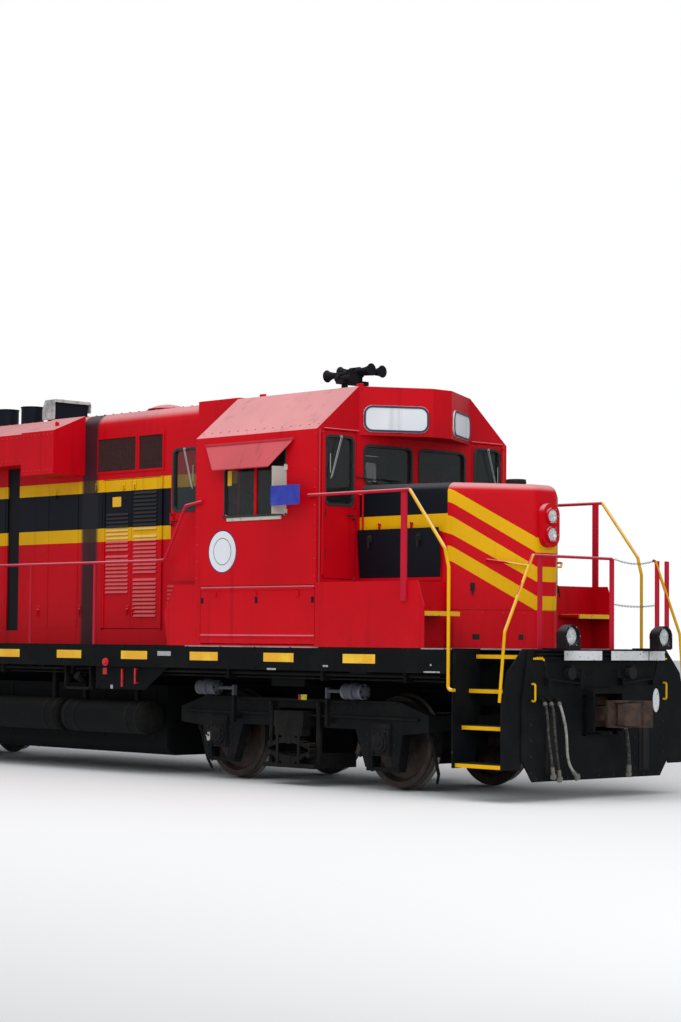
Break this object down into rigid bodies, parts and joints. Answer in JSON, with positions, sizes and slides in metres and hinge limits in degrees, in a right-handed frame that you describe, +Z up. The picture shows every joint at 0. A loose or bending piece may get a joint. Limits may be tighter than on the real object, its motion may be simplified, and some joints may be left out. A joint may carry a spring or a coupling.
{
  "type": "diesel locomotive",
  "caption": "Road-switcher diesel locomotive with a low prow nose, side-window cab, long louvred hood, end stairs, handrails and swivelling two-axle trucks.",
  "frame": {"origin": "centre of the floor plane under the wheel flanges, midway between the trucks", "axes": "+X to the short-nose end, +Y to the left side, +Z up"},
  "size_m": [17.7, 3.424, 4.9318],
  "materials": {
    "red_enamel": "semi-gloss enamel, weathered",
    "black_enamel": "satin enamel with road dust",
    "soot_black": "matt, sooty",
    "cast_steel": "painted castings under grease and dust",
    "wheel_steel": "rusty rims, bright treads",
    "rusty_steel": "rusted casting",
    "dark_steel": "satin",
    "engine_grey": "painted, oily",
    "cab_interior": "satin grey-green enamel",
    "seat_vinyl": "worn vinyl",
    "window_glass": "slightly dirty",
    "white_panel": "gloss with a black rim",
    "hose_rubber": "weathered rubber, one hose faded pale",
    "black_plastic": "matt"
  },
  "bodies": {
    "root": {"underframe": "black_enamel", "pilot_front": "black_enamel", "pilot_rear": "black_enamel", "draft_gear": "cast_steel", "fuel_tank": "black_enamel", "air_reservoirs": "black_enamel", "battery_boxes": "red_enamel", "batteries": "black_plastic", "cab_floor": "cab_interior", "cab_side_right": "red_enamel", "cab_side_left": "red_enamel", "cab_roof": "red_enamel", "cab_front_wall": "red_enamel", "cab_rear_wall": "red_enamel", "cab_glass": "window_glass", "cab_furniture": "seat_vinyl", "sunshades": "red_enamel", "nose": "red_enamel", "long_hood": "red_enamel", "engine": "engine_grey", "hood_fittings": "red_enamel", "hood_grilles": "dark_steel", "fan_cowls": "red_enamel", "lamps": "black_enamel", "number_boards": "white_panel", "horn": "soot_black", "handrails": "red_enamel", "hose_outer": "hose_rubber", "hose_middle": "hose_rubber", "hose_inner": "hose_rubber", "brake_hose": "hose_rubber", "glad_hands": "cast_steel"},
    "truck_front": {"truck_frame_front": "cast_steel", "truck_bolster_front": "cast_steel", "journal_boxes_front": "cast_steel", "truck_motors_front": "cast_steel"},
    "truck_rear": {"truck_frame_rear": "cast_steel", "truck_bolster_rear": "cast_steel", "journal_boxes_rear": "cast_steel", "truck_motors_rear": "cast_steel"},
    "wheelset_1": {"wheelset_1": "wheel_steel"},
    "wheelset_2": {"wheelset_2": "wheel_steel"},
    "wheelset_3": {"wheelset_3": "wheel_steel"},
    "wheelset_4": {"wheelset_4": "wheel_steel"},
    "coupler_front": {"coupler_front": "rusty_steel"},
    "knuckle_front": {"knuckle_front": "rusty_steel"},
    "coupler_rear": {"coupler_rear": "rusty_steel"},
    "knuckle_rear": {"knuckle_rear": "rusty_steel"},
    "cab_door_front_right": {"cab_door_front_right": "red_enamel"},
    "cab_door_front_left": {"cab_door_front_left": "red_enamel"},
    "cab_door_rear_right": {"cab_door_rear_right": "red_enamel"},
    "cab_door_rear_left": {"cab_door_rear_left": "red_enamel"},
    "battery_cover_right": {"battery_cover_right": "red_enamel"},
    "battery_cover_left": {"battery_cover_left": "red_enamel"},
    "hood_door_right_aft": {"hood_door_right_aft": "red_enamel"},
    "hood_door_right_fore": {"hood_door_right_fore": "red_enamel"},
    "hood_door_left_aft": {"hood_door_left_aft": "red_enamel"},
    "hood_door_left_fore": {"hood_door_left_fore": "red_enamel"},
    "fan_rotor_a": {"fan_rotor_a": "dark_steel"},
    "fan_rotor_b": {"fan_rotor_b": "dark_steel"}
  },
  "joints": [
    {"name": "truck_front_swivel", "type": "hinge", "parent": "root", "child": "truck_front", "pos_m": [4.724, 0, 0.858], "axis": [0, 0, 1], "range_deg": [-5, 5]},
    {"name": "truck_rear_swivel", "type": "hinge", "parent": "root", "child": "truck_rear", "pos_m": [-4.724, 0, 0.858], "axis": [0, 0, 1], "range_deg": [-5, 5]},
    {"name": "wheelset_1_roll", "type": "hinge", "parent": "truck_front", "child": "wheelset_1", "pos_m": [6.0955, 0, 0.536], "axis": [0, 1, 0], "continuous": true},
    {"name": "wheelset_2_roll", "type": "hinge", "parent": "truck_front", "child": "wheelset_2", "pos_m": [3.3525, 0, 0.536], "axis": [0, 1, 0], "continuous": true},
    {"name": "wheelset_3_roll", "type": "hinge", "parent": "truck_rear", "child": "wheelset_3", "pos_m": [-3.3525, 0, 0.536], "axis": [0, 1, 0], "continuous": true},
    {"name": "wheelset_4_roll", "type": "hinge", "parent": "truck_rear", "child": "wheelset_4", "pos_m": [-6.0955, 0, 0.536], "axis": [0, 1, 0], "continuous": true},
    {"name": "coupler_front_swing", "type": "hinge", "parent": "root", "child": "coupler_front", "pos_m": [7.99, 0, 0.904], "axis": [0, 0, 1], "range_deg": [-7, 7]},
    {"name": "knuckle_front_open", "type": "hinge", "parent": "coupler_front", "child": "knuckle_front", "pos_m": [8.7, -0.12, 0.904], "axis": [0, 0, -1], "range_deg": [0, 50]},
    {"name": "coupler_rear_swing", "type": "hinge", "parent": "root", "child": "coupler_rear", "pos_m": [-7.99, 0, 0.904], "axis": [0, 0, 1], "range_deg": [-7, 7]},
    {"name": "knuckle_rear_open", "type": "hinge", "parent": "coupler_rear", "child": "knuckle_rear", "pos_m": [-8.7, 0.12, 0.904], "axis": [0, 0, -1], "range_deg": [0, 50]},
    {"name": "cab_door_front_right_swing", "type": "hinge", "parent": "root", "child": "cab_door_front_right", "pos_m": [5.524, -1.484, 3.028], "axis": [0, 0, -1], "range_deg": [0, 90]},
    {"name": "cab_door_front_left_swing", "type": "hinge", "parent": "root", "child": "cab_door_front_left", "pos_m": [5.524, 1.484, 3.028], "axis": [0, 0, 1], "range_deg": [0, 90]},
    {"name": "cab_door_rear_right_swing", "type": "hinge", "parent": "root", "child": "cab_door_rear_right", "pos_m": [3.406, -1.484, 3.028], "axis": [0, 0, 1], "range_deg": [-90, 0]},
    {"name": "cab_door_rear_left_swing", "type": "hinge", "parent": "root", "child": "cab_door_rear_left", "pos_m": [3.406, 1.484, 3.028], "axis": [0, 0, -1], "range_deg": [0, 90]},
    {"name": "battery_cover_right_drop", "type": "hinge", "parent": "root", "child": "battery_cover_right", "pos_m": [4.51, -1.552, 1.616], "axis": [1, 0, 0], "range_deg": [0, 90]},
    {"name": "battery_cover_left_drop", "type": "hinge", "parent": "root", "child": "battery_cover_left", "pos_m": [4.51, 1.552, 1.616], "axis": [-1, 0, 0], "range_deg": [0, 90]},
    {"name": "hood_door_right_aft_swing", "type": "hinge", "parent": "root", "child": "hood_door_right_aft", "pos_m": [0.765, -0.904, 2.728], "axis": [0, 0, -1], "range_deg": [0, 120]},
    {"name": "hood_door_right_fore_swing", "type": "hinge", "parent": "root", "child": "hood_door_right_fore", "pos_m": [1.975, -0.904, 2.728], "axis": [0, 0, 1], "range_deg": [0, 120]},
    {"name": "hood_door_left_aft_swing", "type": "hinge", "parent": "root", "child": "hood_door_left_aft", "pos_m": [0.765, 0.904, 2.728], "axis": [0, 0, 1], "range_deg": [0, 120]},
    {"name": "hood_door_left_fore_swing", "type": "hinge", "parent": "root", "child": "hood_door_left_fore", "pos_m": [1.975, 0.904, 2.728], "axis": [0, 0, -1], "range_deg": [0, 120]},
    {"name": "fan_rotor_a_spin", "type": "hinge", "parent": "root", "child": "fan_rotor_a", "pos_m": [-4.7, 0, 4.628], "axis": [0, 0, 1], "continuous": true},
    {"name": "fan_rotor_b_spin", "type": "hinge", "parent": "root", "child": "fan_rotor_b", "pos_m": [-6.15, 0, 4.628], "axis": [0, 0, 1], "continuous": true}
  ]
}
